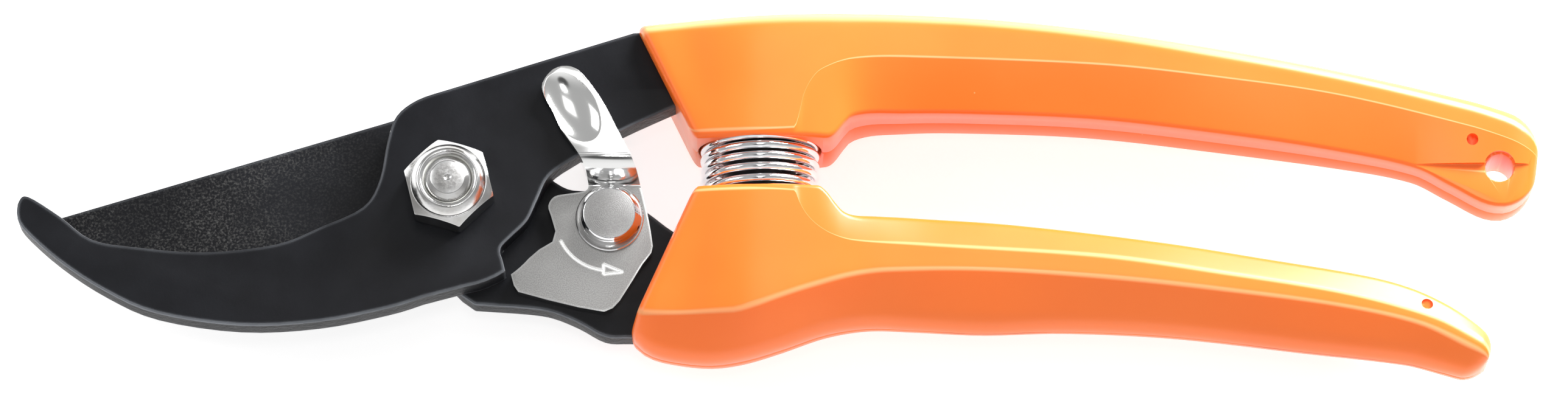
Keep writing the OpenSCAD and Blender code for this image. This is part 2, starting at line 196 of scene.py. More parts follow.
class Shading:
    """A node tree to add nodes to, one call a node, with inputs given by name as values or sockets."""

    def __init__(self, tree):
        self.tree = tree

    def add(self, kind, inputs=None, out=0, **settings):
        node = self.tree.nodes.new("ShaderNode" + kind)
        for key, value in settings.items():
            setattr(node, key, value)
        for key, value in (inputs or {}).items():
            if isinstance(value, bpy.types.NodeSocket):
                self.tree.links.new(value, node.inputs[key])
            else:
                node.inputs[key].default_value = value
        return node.outputs[out]

    def ramp(self, value, low, high, start, end):
        """The value's stretch from low to high, run from start to end with soft ends."""
        return self.add("MapRange", {"Value": value, "From Min": low, "From Max": high, "To Min": start,
                                     "To Max": end}, interpolation_type="SMOOTHSTEP")

    def blend(self, share, a, b):
        """A colour that runs from a to b with the share."""
        return self.add("Mix", {"Factor": share, 6: a, 7: b}, out=2, data_type="RGBA")


def effect(name, inputs, outputs):
    """An empty node group with number inputs and named outputs, and the two ends to wire."""
    group = bpy.data.node_groups.new(name, "ShaderNodeTree")
    for label, value in inputs.items():
        socket = group.interface.new_socket(name=label, in_out="INPUT", socket_type="NodeSocketFloat")
        socket.default_value = value
    for label, kind in outputs.items():
        group.interface.new_socket(name=label, in_out="OUTPUT", socket_type="NodeSocket" + kind)
    return group, group.nodes.new("NodeGroupInput").outputs, group.nodes.new("NodeGroupOutput").inputs


def grain_effect():
    """Fine even grain and slow clouds, both 0 to 1, at a scale given in features a metre."""
    group, given, out = effect("metal_grain", {"Scale": 3000.0, "Cloud Scale": 60.0},
                               {"Grain": "Float", "Cloud": "Float"})
    draw = Shading(group)
    place = draw.add("TexCoord", out="Object")
    fine = draw.add("TexNoise", {"Vector": place, "Scale": given["Scale"], "Detail": 3.0, "Roughness": 0.6})
    slow = draw.add("TexNoise", {"Vector": place, "Scale": given["Cloud Scale"], "Detail": 4.0,
                                 "Roughness": 0.55})
    group.links.new(fine, out["Grain"])
    group.links.new(slow, out["Cloud"])
    return group


def edge_effect():
    """A mask that is 1 along rounded and sharp edges, within a width in metres, and 0 on flats."""
    group, given, out = effect("edge_nearness", {"Width": 0.0006}, {"Edge": "Float"})
    draw = Shading(group)
    near = draw.add("Bevel", {"Radius": given["Width"]}, samples=6)
    true = draw.add("NewGeometry", out="True Normal")
    agree = draw.add("VectorMath", {0: near, 1: true}, out="Value", operation="DOT_PRODUCT")
    group.links.new(draw.ramp(agree, 0.93, 0.995, 1.0, 0.0), out["Edge"])
    return group


def speck_effect():
    """Scattered specks, such as lint and chips, on 1 of many cells of a given size."""
    group, given, out = effect("loose_specks", {"Scale": 500.0, "Size": 0.12}, {"Speck": "Float"})
    draw = Shading(group)
    place = draw.add("TexCoord", out="Object")
    cell = draw.tree.nodes.new("ShaderNodeTexVoronoi")
    group.links.new(place, cell.inputs["Vector"])
    group.links.new(given["Scale"], cell.inputs["Scale"])
    pick = draw.add("SeparateColor", {"Color": cell.outputs["Color"]})
    chosen = draw.ramp(pick, 0.90, 0.93, 0.0, 1.0)
    near = draw.add("Math", {0: cell.outputs["Distance"], 1: given["Size"]}, operation="LESS_THAN")
    group.links.new(draw.add("Math", {0: chosen, 1: near}, operation="MULTIPLY"), out["Speck"])
    return group


grain_group, edge_group, speck_group = grain_effect(), edge_effect(), speck_effect()


def material_named(name, metallic=0.0, ior=1.5, coat=0.0, coat_rough=0.1):
    """A material, the node tree to add to, and its shader with the plain values set on its sockets."""
    material = bpy.data.materials.new(name)
    material.use_nodes = True
    shader = material.node_tree.nodes["Principled BSDF"]
    shader.inputs["Metallic"].default_value = metallic
    shader.inputs["IOR"].default_value = ior
    shader.inputs["Coat Weight"].default_value = coat
    shader.inputs["Coat Roughness"].default_value = coat_rough
    return material, Shading(material.node_tree), shader.inputs


def use_group(draw, group, inputs):
    node = draw.tree.nodes.new("ShaderNodeGroup")
    node.node_tree = group
    for key, value in inputs.items():
        node.inputs[key].default_value = value
    return node.outputs


def relief(draw, height, strength, depth, under=None):
    """A normal that reads a height as a relief of that depth in metres, laid over another normal."""
    inputs = {"Height": height, "Strength": strength, "Distance": depth}
    if under:
        inputs["Normal"] = under
    return draw.add("Bump", inputs)


def finish(draw, shader, **outputs):
    """Wires a surface's values to the shader's sockets of those names, and so ends a material."""
    for label, value in outputs.items():
        draw.tree.links.new(value, shader[label.replace("_", " ")])


def black_coating(name, worn_from=None):
    """Satin black coating over steel: orange peel, paler edges that are partly worn bare steel and partly a
    painted highlight, grained sheared walls and lint.
    Past worn_from, towards the blade's tip, the coating is scuffed to grey speckles."""
    material, draw, shader = material_named(name, ior=1.45)
    grain = use_group(draw, grain_group, {"Scale": 2400.0, "Cloud Scale": 55.0})
    edge = use_group(draw, edge_group, {"Width": 0.0007})["Edge"]
    lint = use_group(draw, speck_group, {"Scale": 320.0, "Size": 0.055})["Speck"]
    place = draw.add("TexCoord", out="Object")
    color = draw.blend(draw.ramp(grain["Cloud"], 0.35, 0.7, 0, 1), (0.0028, 0.0030, 0.0042, 1),
                       (0.0062, 0.0068, 0.0092, 1))
    rough = draw.ramp(grain["Cloud"], 0.3, 0.75, 0.34, 0.46)
    if worn_from is not None:
        scuff = draw.add("TexNoise", {"Vector": place, "Scale": 3000.0, "Detail": 5.0, "Roughness": 0.7})
        patch = draw.add("TexNoise", {"Vector": place, "Scale": 75.0, "Detail": 3.0, "Roughness": 0.6})
        reach = draw.ramp(draw.add("SeparateXYZ", {"Vector": place}), worn_from, worn_from + 0.03, 1, 0)
        bare = draw.add("Math", {0: draw.ramp(patch, 0.36, 0.64, 0.35, 1), 1: reach}, operation="MULTIPLY")
        bare = draw.add("Math", {0: draw.ramp(scuff, 0.45, 0.68, 0, 1), 1: bare}, operation="MULTIPLY")
        color = draw.blend(bare, color, (0.075, 0.074, 0.072, 1))
    facing = draw.add("VectorTransform", {"Vector": draw.add("NewGeometry", out="Normal")},
                      vector_type="NORMAL", convert_from="WORLD", convert_to="OBJECT")
    lean = draw.add("Math", {0: draw.add("SeparateXYZ", {"Vector": facing}, out="Z")}, operation="ABSOLUTE")
    # Painted highlight: the paler, half-metallic edge colour is kept to the edges that face the camera's
    # side, where the rims catch the bright room; edges facing away keep a fifth of it.
    highlight_side = draw.ramp(draw.add("SeparateXYZ", {"Vector": facing}, out="Y"), -0.15, 0.2, 1, 0.2)
    rolled = draw.add("Math", {0: draw.ramp(lean, 0.2, 0.5, 0, 1), 1: draw.ramp(lean, 0.86, 0.985, 1, 0)},
                      operation="MULTIPLY")
    rim = draw.add("Math", {0: edge, 1: rolled}, operation="MAXIMUM")
    rim = draw.add("Math", {0: rim, 1: highlight_side}, operation="MULTIPLY")
    patchy = draw.ramp(grain["Cloud"], 0.35, 0.65, 0.3, 0.9)
    worn_and_highlit = draw.add("Math", {0: patchy, 1: rim}, operation="MULTIPLY")
    # Paler edge colour: worn bare steel along the rounded rims, with a painted highlight on the camera's
    # side.
    color = draw.blend(worn_and_highlit, color, (0.26, 0.275, 0.30, 1))
    color = draw.blend(lint, color, (0.3, 0.3, 0.3, 1))
    wall = draw.ramp(lean, 0.1, 0.35, 1, 0)
    torn = draw.add("TexNoise", {"Vector": place, "Scale": 900.0, "Detail": 5.0, "Roughness": 0.7})
    peel = relief(draw, grain["Grain"], 0.12, 0.12 * MM)
    torn_height = draw.add("Math", {0: torn, 1: wall}, operation="MULTIPLY")
    metal = draw.add("Math", {0: worn_and_highlit, 1: 0.8}, operation="MULTIPLY")
    shader["Specular IOR Level"].default_value = 0.24
    finish(draw, shader, Base_Color=color, Roughness=rough, Metallic=metal,
           Normal=relief(draw, torn_height, 0.8, 0.6 * MM, peel))
    return material


hook = blank_from("hook_plate", "hook_blank")
round_edges(hook, plate_round, 4)
assemble(hook, black_coating("hook_coating"), "upper_half", "hook_steel", "hook_plate")

# ---- Blade plate ----
# Rear plate with the cutting blade: 3.6 mm steel, blanked and coated like the hook plate, its edge
# ground to one side, from behind, so that its flat front slides along the hook.
grind_width = 6.5
grind_over = 1.5
edge_thick = 0.35
edge_line = [(-4, -10.3), (-11.8, -12.0), (-21.8, -12.9), (-33.0, -12.3), (-43.1, -9.9), (-51.0, -6.6),
             (-57.5, -2.6)]
scuffed_past = -0.078


def face_height(node, end, axis=2):
    """How far a CAD node's low (0) or high (1) face stands from the hinge along an axis, in mm."""
    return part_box(node)[end][axis] / MM - hinge[axis] / MM


def smooth_run(points, steps):
    """A smooth run through the points, with that many steps to each span."""
    run = []
    for i in range(len(points) - 1):
        a, b, c, d = (Vector(points[min(max(k, 0), len(points) - 1)]) for k in (i - 1, i, i + 1, i + 2))
        for k in range(steps):
            t = k / steps
            run.append((2 * b + (c - a) * t + (2 * a - 5 * b + 4 * c - d) * t * t
                        + (3 * b - a - 3 * c + d) * t ** 3) / 2)
    return run + [Vector(points[-1])]


def wrap(name, rings, shine=None):
    """A closed piece: a grid wrapped round its rings of points, in mm from the hinge, and capped.
    shine gives each point's share of the painted crease shine, kept as an attribute."""
    sides = len(rings[0])
    bpy.ops.object.select_all(action="DESELECT")
    bpy.ops.mesh.primitive_grid_add(x_subdivisions=sides, y_subdivisions=len(rings) - 1)
    piece = bpy.context.object
    piece.name = piece.data.name = name
    for k, vertex in enumerate(piece.data.vertices):
        ring, side = divmod(k, sides + 1)
        vertex.co = hinge + Vector(rings[ring][side % sides]) * MM
    if shine:
        crease = piece.data.attributes.new("crease", "FLOAT", "POINT").data
        for k in range(len(crease)):
            crease[k].value = shine[k % (sides + 1) % sides]
    bpy.ops.object.mode_set(mode="EDIT")
    bpy.ops.mesh.select_all(action="SELECT")
    bpy.ops.mesh.remove_doubles(threshold=0.001 * MM)
    bpy.ops.mesh.fill_holes(sides=0)
    bpy.ops.mesh.normals_make_consistent(inside=False)
    bpy.ops.object.mode_set(mode="OBJECT")
    return piece


def combine(piece, tool, how="DIFFERENCE"):
    """Cuts the tool out of the piece, or joins or meets the two, and removes the tool."""
    boolean = piece.modifiers.new("combine", "BOOLEAN")
    boolean.object = tool
    boolean.operation = how
    boolean.solver = "EXACT"
    apply_modifiers(piece)
    bpy.data.objects.remove(tool)


def grind_tool():
    """The wedge that the grinding takes off along the blade's edge, run out at its heel."""
    blade_back = face_height("blade_plate", 0)
    line = smooth_run(edge_line, 6)
    rings = []
    for k, point in enumerate(line):
        way = (line[min(k + 1, len(line) - 1)] - line[max(k - 1, 0)]).normalized()
        inward = Vector((way.y, -way.x))
        wide = grind_width * min(1, 0.25 + k / 9)
        fall = (-edge_thick - blade_back) / wide
        outer, inner = point - inward * grind_over, point + inward * wide
        rings.append([(outer.x, outer.y, blade_back - 1), (outer.x, outer.y, -edge_thick + fall * grind_over),
                      (inner.x, inner.y, blade_back), (inner.x, inner.y, blade_back - 1)])
    return wrap("grind_tool", rings)


blade = blank_from("blade_plate", "blade_blank")
round_edges(blade, 0.6 * MM, 4)
combine(blade, grind_tool())
assemble(blade, black_coating("blade_coating", worn_from=scuffed_past), "lower_half", "blade_steel",
         "blade_plate", turn=30)

# ---- Pivot bolt, lock nut and nylon ring ----
# The bolt goes through from behind and grips the blade plate. In front of the hook plate its
# chamfered end stands in a bright zinc-plated lock nut, whose rolled collar holds a nylon ring.
hex_turn = math.radians(44)
hex_flat = 5.5
hex_corner = 6.5
nut_low = face_height("pivot_nut", 0)
nut_face = nut_low + 4.4
nut_high = nut_low + 6
bolt_low = face_height("pivot_bolt", 0)
bolt_top = face_height("pivot_bolt", 1)
head_top = face_height("blade_plate", 0)
shank_r = 3.2


def arc(center, r, start, end, steps=6):
    """Points round an arc, from one angle to another in degrees."""
    turns = [math.radians(start + (end - start) * k / steps) for k in range(steps + 1)]
    return [(center[0] + r * math.cos(a), center[1] + r * math.sin(a)) for a in turns]


def lathe(name, profile, at=(0, 0, 0), along_y=False, steps=72):
    """A turned piece: a closed profile of (radius, height) spun round an upright or a Y axis, in mm."""
    bpy.ops.object.select_all(action="DESELECT")
    bpy.ops.mesh.primitive_circle_add(vertices=len(profile), radius=MM)
    piece = bpy.context.object
    piece.name = piece.data.name = name
    axis = Vector((0, 1, 0) if along_y else (0, 0, 1))
    center = hinge + Vector(at) * MM
    for vertex, (r, h) in zip(piece.data.vertices, profile):
        vertex.co = center + Vector((r, 0, 0)) * MM + axis * h * MM
    bpy.ops.object.mode_set(mode="EDIT")
    bpy.ops.mesh.select_all(action="SELECT")
    bpy.ops.mesh.spin(steps=steps, angle=2 * math.pi, center=center, axis=axis)
    bpy.ops.mesh.select_all(action="SELECT")
    bpy.ops.mesh.remove_doubles(threshold=0.002 * MM)
    bpy.ops.mesh.delete_loose(use_verts=True, use_edges=True, use_faces=False)
    bpy.ops.mesh.select_all(action="SELECT")
    bpy.ops.mesh.normals_make_consistent(inside=False)
    bpy.ops.object.mode_set(mode="OBJECT")
    return piece


def hexagon(name, low, high):
    """A hexagon bar across the flats of the nut, its six edges just broken."""
    bpy.ops.object.select_all(action="DESELECT")
    bpy.ops.mesh.primitive_cylinder_add(vertices=6, radius=hex_flat / math.cos(math.pi / 6) * MM,
                                        depth=(high - low) * MM)
    bar = bpy.context.object
    bar.name = bar.data.name = name
    bpy.ops.object.mode_set(mode="EDIT")
    bpy.ops.transform.rotate(value=-(hex_turn - math.pi / 6), orient_axis="Z", center_override=(0, 0, 0))
    bpy.ops.transform.translate(value=hinge + Vector((0, 0, (low + high) / 2)) * MM)
    bpy.ops.object.mode_set(mode="OBJECT")
    round_edges(bar, 0.12 * MM, 2, 50)
    return bar


def bright_zinc(name, scuffed_end=False):
    """Bright zinc plate with faint clouds; a bolt's cut end is duller, with bright scratches."""
    material, draw, shader = material_named(name, metallic=1.0)
    grain = use_group(draw, grain_group, {"Scale": 2600.0, "Cloud Scale": 300.0})
    edge = use_group(draw, edge_group, {"Width": 0.0003})["Edge"]
    cloud = draw.ramp(grain["Cloud"], 0.3, 0.7, 0, 1)
    color = draw.blend(cloud, (0.50, 0.49, 0.47, 1), (0.66, 0.66, 0.66, 1))
    rough = draw.ramp(grain["Cloud"], 0.3, 0.7, 0.10, 0.2)
    height = grain["Grain"]
    if scuffed_end:
        place = draw.add("TexCoord", out="Object")
        up = draw.add("SeparateXYZ", {"Vector": draw.add("NewGeometry", out="Normal")}, out="Z")
        flat = draw.ramp(up, 0.93, 0.99, 0, 1)
        marks = draw.add("TexNoise", {"Vector": place, "Scale": 2100.0, "Detail": 6.0, "Roughness": 0.8})
        dull = draw.add("Math", {0: flat, 1: 0.32}, operation="MULTIPLY")
        rough = draw.add("Math", {0: rough, 1: dull}, operation="ADD")
        grey = draw.add("Math", {0: draw.ramp(marks, 0.40, 0.66, 0.95, 0.25), 1: flat}, operation="MULTIPLY")
        color = draw.blend(grey, color, (0.27, 0.265, 0.26, 1))
        height = draw.add("Math", {0: grain["Grain"], 1: marks}, operation="ADD")
    color = draw.blend(edge, color, (0.86, 0.86, 0.86, 1))
    finish(draw, shader, Base_Color=color, Roughness=rough, Normal=relief(draw, height, 0.12, 0.1 * MM))
    return material


nut = hexagon("lock_nut", nut_low, nut_face)
nut_chamfer = [(0, nut_low - 1), (5.6, nut_low - 1), (5.6, nut_low), (hex_corner, nut_low + 0.5),
               (hex_corner, nut_face - 1.3), (5.9, nut_face - 0.62), (5.15, nut_face + 0.01),
               (0, nut_face + 0.01)]
combine(nut, lathe("nut_chamfer", nut_chamfer), "INTERSECT")
collar = [(0, nut_face - 1), (5.0, nut_face - 1), (5.0, nut_face)]
collar += arc((4.35, nut_face + 0.25), 0.75, -20, 35, 4)
collar += arc((3.95, nut_face + 1.05), 0.55, 35, 150, 8)
collar += [(3.44, nut_face + 1.2), (0, nut_face + 1.2)]
combine(nut, lathe("nut_collar", collar), "UNION")
bore = [(0, nut_low - 1), (3.22, nut_low - 1), (3.22, nut_face), (4.0, nut_face + 0.1), (4.0, nut_face + 1.0),
        (3.45, nut_face + 1.1), (3.45, nut_high + 1), (0, nut_high + 1)]
combine(nut, lathe("nut_bore", bore))
assemble(nut, bright_zinc("nut_zinc"), "lower_half", "bright_zinc", "pivot_nut", turn=30)

ring_profile = [(shank_r, nut_face + 0.05), (4.0, nut_face + 0.12), (4.0, nut_face + 0.95),
                (3.7, nut_face + 1.08), (3.3, nut_face + 1.0), (shank_r, nut_face + 0.8)]
ring = lathe("nylon_ring", ring_profile)
nylon, nylon_draw, nylon_shader = material_named("nylon")
nylon_cloud = use_group(nylon_draw, grain_group, {"Scale": 900.0, "Cloud Scale": 200.0})
finish(nylon_draw, nylon_shader,
       Base_Color=nylon_draw.blend(nylon_cloud["Cloud"], (0.62, 0.62, 0.58, 1), (0.78, 0.78, 0.74, 1)),
       Roughness=nylon_draw.ramp(nylon_cloud["Grain"], 0.2, 0.8, 0.4, 0.55))
nylon_shader["Subsurface Weight"].default_value = 0.2
nylon_shader["Subsurface Radius"].default_value = (0.001, 0.001, 0.001)
assemble(ring, nylon, "lower_half", "nylon", "nut_insert")

bolt = hexagon("pivot_bolt_turned", bolt_low, head_top)
head_chamfer = [(0, bolt_low), (5.1, bolt_low), (hex_corner, bolt_low + 0.8), (hex_corner, head_top - 0.3),
                (5.9, head_top), (0, head_top)]
combine(bolt, lathe("head_chamfer", head_chamfer), "INTERSECT")
head_dish = [(0, bolt_low - 1), (3.6, bolt_low - 1), (3.6, bolt_low), (3.3, bolt_low + 0.35),
             (0, bolt_low + 0.35)]
combine(bolt, lathe("head_dish", head_dish))
shank = [(0, head_top - 1), (shank_r, head_top - 1), (shank_r, bolt_top - 0.95), (3.08, bolt_top - 0.8),
         (2.42, bolt_top - 0.12), (2.25, bolt_top - 0.02), (0.5, bolt_top), (0.32, bolt_top - 0.12),
         (0, bolt_top - 0.16)]
combine(bolt, lathe("bolt_shank", shank), "UNION")
assemble(bolt, bright_zinc("bolt_zinc", scuffed_end=True), "lower_half", "bright_zinc", "pivot_bolt", turn=30)

# ---- Lock lever ----
# One stamping of 1.8 mm stainless sheet: a flat body with two fingers that trap the hook's heel, an
# S-bend, and a polished arm over the hook plate, with a pressed oval dimple for the thumb.
lever_top = 1.85
arm_top = face_height("lock_lever", 1)
rivet_at = (21.8, -3.45)
arrow_r = 7.35
arrow_head = [Vector(corner) for corner in ((21.0, -9.9), (21.0, -11.3), (23.6, -11.0))]
dimple_at = (16.75, 11.25)
dimple_turn = math.radians(31)
dimple_size = (3.45, 5.9, 1.7)
dimple_depth = 1.1


def blasted_steel(name):
    """Stainless steel: fine blasted on the flat body, polished on the arm and along every edge."""
    material, draw, shader = material_named(name, metallic=1.0)
    grain = use_group(draw, grain_group, {"Scale": 7000.0, "Cloud Scale": 160.0})
    edge = use_group(draw, edge_group, {"Width": 0.00045})["Edge"]
    high = draw.add("SeparateXYZ", {"Vector": draw.add("TexCoord", out="Object")}, out="Z")
    arm = draw.ramp(high, hinge.z + 2.1 * MM, hinge.z + 3.0 * MM, 0, 1)
    cut = draw.ramp(high, hinge.z + 1.78 * MM, hinge.z + 1.83 * MM, 0.7, 0)
    up = draw.add("SeparateXYZ", {"Vector": draw.add("NewGeometry", out="Normal")}, out="Z")
    rim = draw.ramp(draw.add("Math", {0: up}, operation="ABSOLUTE"), 0.82, 0.97, 1, 0)
    worn = draw.add("Math", {0: edge, 1: rim}, operation="MAXIMUM")
    fresh = draw.add("Math", {0: worn, 1: cut}, operation="MAXIMUM")
    bright = draw.add("Math", {0: arm, 1: fresh}, operation="MAXIMUM")
    grit = draw.ramp(grain["Grain"], 0.3, 0.7, 0, 1)
    speckle = draw.blend(grit, (0.30, 0.297, 0.29, 1), (0.43, 0.426, 0.418, 1))
    color = draw.blend(bright, speckle, (0.90, 0.90, 0.89, 1))
    dull = draw.ramp(grain["Cloud"], 0.3, 0.7, 0.36, 0.44)
    rough = draw.add("Mix", {"Factor": bright, "A": dull, "B": 0.13}, data_type="FLOAT")
    flat = draw.add("Math", {0: 1.0, 1: bright}, operation="SUBTRACT")
    height = draw.add("Math", {0: grain["Grain"], 1: flat}, operation="MULTIPLY")
    finish(draw, shader, Base_Color=color, Roughness=rough, Normal=relief(draw, height, 0.25, 0.08 * MM))
    return material


def groove(path, wide=0.2, deep=0.09):
    """The tool for one engraved stroke in the lever's body, along a path in plan."""
    rings = []
    for k, point in enumerate(path):
        way = (path[min(k + 1, len(path) - 1)] - path[max(k - 1, 0)]).normalized()
        side = Vector((way.y, -way.x)) * wide / 2
        a, b = point - side, point + side
        rings.append([(a.x, a.y, lever_top + 1), (a.x, a.y, lever_top - deep), (b.x, b.y, lever_top - deep),
                      (b.x, b.y, lever_top + 1)])
    return wrap("groove_tool", rings)


def crown_arm(piece):
    """Rounds the arm's upper rim broadly, as the press leaves it."""
    only(piece)
    bpy.ops.object.mode_set(mode="EDIT")
    bpy.ops.mesh.select_mode(type="EDGE")
    bpy.ops.mesh.select_all(action="DESELECT")
    bpy.ops.mesh.edges_select_sharp(sharpness=math.radians(60))
    bpy.ops.object.mode_set(mode="OBJECT")
    rim = hinge.z + (arm_top - 0.01) * MM
    for edge in piece.data.edges:
        low = min(piece.data.vertices[v].co.z for v in edge.vertices)
        edge.select = edge.select and low > rim
    bpy.ops.object.mode_set(mode="EDIT")
    bpy.ops.mesh.bevel(offset=0.9 * MM, segments=5, clamp_overlap=True)
    bpy.ops.mesh.select_mode(type="VERT")
    bpy.ops.object.mode_set(mode="OBJECT")


lever = blank_from("lock_lever", "lever_stamping")
crown_arm(lever)
round_edges(lever, 0.36 * MM, 4, 50)
bpy.ops.object.select_all(action="DESELECT")
bpy.ops.mesh.primitive_uv_sphere_add(segments=48, ring_count=32, radius=MM)
thumb = bpy.context.object
bpy.ops.object.mode_set(mode="EDIT")
bpy.ops.transform.resize(value=dimple_size, center_override=(0, 0, 0))
bpy.ops.transform.rotate(value=-dimple_turn, orient_axis="Z", center_override=(0, 0, 0))
bpy.ops.transform.translate(value=hinge + Vector((*dimple_at, arm_top + dimple_size[2] - dimple_depth)) * MM)
bpy.ops.object.mode_set(mode="OBJECT")
combine(lever, thumb)
strokes = [[Vector(p) for p in arc(rivet_at, arrow_r, 205, 263, 10)]]
strokes += [[arrow_head[0], arrow_head[1]], [arrow_head[0], arrow_head[2]], [arrow_head[1], arrow_head[2]]]
for stroke in strokes:
    combine(lever, groove(stroke))
assemble(lever, blasted_steel("lever_stainless"), "lever", "lever_steel", "lock_lever", turn=32)

# ---- Lever rivet and washer ----
# A turned steel rivet holds the lever to the blade plate: matte flat top, polished steep rim, a thin
# washer below it, and its tail rolled over behind the plate.
washer_low = face_height("rivet_washer", 0)
washer_high = face_height("rivet_washer", 1)
rivet_low = face_height("lever_rivet", 0)
rivet_top = face_height("lever_rivet", 1)


def turned_chrome(name):
    """Bright chrome with fine turned rings, dulled to a matte grey on the flat top."""
    material, draw, shader = material_named(name, metallic=1.0)
    place = draw.add("TexCoord", out="Object")
    shift = hinge + Vector((*rivet_at, 0)) * MM
    near = draw.add("VectorMath", {0: place, 1: shift}, operation="SUBTRACT")
    flat_place = draw.add("VectorMath", {0: near, 1: (1.0, 1.0, 0.0)}, operation="MULTIPLY")
    out = draw.add("VectorMath", {0: flat_place}, out="Value", operation="LENGTH")
    turns = draw.add("Math", {0: out, 1: 26000.0}, operation="MULTIPLY")
    rings = draw.add("Math", {0: turns}, operation="SINE")
    grain = use_group(draw, grain_group, {"Scale": 6000.0, "Cloud Scale": 400.0})
    up = draw.add("SeparateXYZ", {"Vector": draw.add("NewGeometry", out="Normal")}, out="Z")
    flat = draw.ramp(up, 0.96, 0.995, 0, 1)
    grit = draw.ramp(grain["Grain"], 0.3, 0.7, 0, 1)
    matte = draw.blend(grit, (0.30, 0.295, 0.29, 1), (0.40, 0.395, 0.39, 1))
    color = draw.blend(flat, (0.86, 0.86, 0.87, 1), matte)
    rough = draw.add("Mix", {"Factor": flat, "A": 0.08, "B": 0.42}, data_type="FLOAT")
    height = draw.add("Math", {0: rings, 1: grain["Grain"]}, operation="ADD")
    finish(draw, shader, Base_Color=color, Roughness=rough, Normal=relief(draw, height, 0.08, 0.05 * MM))
    return material


chrome = turned_chrome("rivet_chrome")
rivet_profile = [(0, rivet_low), (2.1, rivet_low), (2.75, rivet_low + 0.2), (3.2, head_top - 0.35),
                 (3.3, head_top - 0.05), (3.25, head_top), (2.5, head_top), (2.5, washer_high),
                 (4.25, washer_high), (4.4, washer_high + 0.12), (4.4, washer_high + 0.42),
                 (4.3, washer_high + 0.62), (3.62, rivet_top - 0.14), (3.54, rivet_top - 0.04),
                 (3.42, rivet_top), (0, rivet_top)]
rivet = lathe("turned_rivet", rivet_profile, at=(*rivet_at, 0), steps=96)
assemble(rivet, chrome, "lower_half", "rivet_chrome", "lever_rivet", turn=30)
washer_profile = [(2.52, washer_low), (4.52, washer_low), (4.65, washer_low + 0.1),
                  (4.65, washer_high - 0.1), (4.55, washer_high), (2.52, washer_high)]
washer = lathe("thin_washer", washer_profile, at=(*rivet_at, 0), steps=96)
assemble(washer, chrome, "lower_half", "rivet_chrome", "rivet_washer", turn=30)

# ---- Grips ----
# Both handles are glossy orange plastic, moulded round the tangs of the plates in a mould that parts
# along their middle plane, so front and back mirror each other and a fine seam runs round the sides.
corner_steps = 7
face_shares = (0.17, 0.33, 0.5, 0.67, 0.83)
seam_half = 0.16
seam_depth = 0.1
end_round = 1.0
end_rings = 8
pin_r = 0.8
pin_floor = 4.2
boss_x = 42.3
pocket_r = 8.4
pocket_depth = 3
pocket_lip = 0.3


def slope(line, i):
    """A line's slope at one of its points, from the points beside it."""
    a, b = line[max(i - 1, 0)], line[min(i + 1, len(line) - 1)]
    return (b[1] - a[1]) / (b[0] - a[0])


def along(line, x):
    """The height at x of the smooth run through a line's points."""
    i = 0
    while i < len(line) - 2 and x >= line[i + 1][0]:
        i += 1
    (x0, y0), (x1, y1) = line[i], line[i + 1]
    w = x1 - x0
    t = min(max((x - x0) / w, 0), 1)
    s = 1 - t
    return (y0 * (1 + 2 * t) * s * s + y1 * t * t * (3 - 2 * t)
            + slope(line, i) * w * t * s * s - slope(line, i + 1) * w * t * t * s)


def rounded(corners):
    """Points round a closed section, each corner (y, z, radius) an arc."""
    points = []
    for k, (y, z, r) in enumerate(corners):
        here = Vector((y, z))
        before = Vector(corners[k - 1][:2]) - here
        after = Vector(corners[(k + 1) % len(corners)][:2]) - here
        room = 0.49 * min(before.length, after.length)
        cut = min(r * math.tan((math.pi - before.angle(after)) / 2), room)
        start = here + before.normalized() * cut
        end = here + after.normalized() * cut
        for j in range(corner_steps + 1):
            t = j / corner_steps
            points.append(start * (1 - t) ** 2 + here * 2 * t * (1 - t) + end * t * t)
    return points


def grip_section(lines, x, lean, middle):
    """The outline where a plane that leans in X cuts a grip."""
    def meet(name):
        here = x
        for _ in range(8):
            here = x + lean * (along(lines[name], here) - middle)
        return here, along(lines[name], here)

    (back_x, back), (out_x, out_edge), (in_x, in_edge), (fore_x, fore) = (
        meet(name) for name in ("back", "out_edge", "in_edge", "fore"))
    corners = [(back, along(lines["back_half"], back_x), along(lines["back_round"], x)),
               (out_edge, along(lines["face"], out_x), along(lines["out_round"], x)),
               (in_edge, along(lines["face"], in_x), along(lines["in_round"], x)),
               (fore, along(lines["fore_half"], fore_x), along(lines["fore_round"], x))]
    ring = rounded(corners + [(y, -z, r) for y, z, r in reversed(corners)])
    outward = math.copysign(1, back - fore)
    # The front and back faces follow corners 2 and 6, the side walls with the mould seam 4 and 8.
    outline = []
    for k, point in enumerate(ring):
        outline.append(point)
        corner, last = divmod(k + 1, corner_steps + 1)
        after = ring[(k + 1) % len(ring)]
        if last or corner % 2:
            continue
        if corner in (2, 6):
            outline += [point.lerp(after, share) for share in face_shares]
        else:
            wall = Vector((outward if corner == 8 else -outward, 0))
            up = 1 if corner == 8 else -1
            for z, depth in ((-seam_half, 0), (0, seam_depth), (seam_half, 0)):
                outline.append(Vector((point.x, up * z)) - wall * depth)
    return [Vector((x + lean * (point.x - middle), point.x, point.y)) for point in outline]


def crease_shine():
    """Each outline point's share of the painted crease shine: full in the middle of the face's two long
    edges.
    """
    shares = []
    for corner in range(8):
        full = 1.0 if corner in (1, 2, 5, 6) else 0.3 if corner in (3, 4) else 0.0
        shares += [full * (1 - abs(2 * j / corner_steps - 1)) for j in range(corner_steps + 1)]
        if corner % 2:
            shares += [0.0] * (3 if corner in (3, 7) else len(face_shares))
    return shares


def spaced(marks):
    """Stations between the marks (x, step), each stretch divided evenly."""
    stations = [marks[0][0]]
    for (start, step), (end, _) in zip(marks, marks[1:]):
        count = max(1, round((end - start) / step))
        stations += [start + (end - start) * k / count for k in range(1, count + 1)]
    return stations


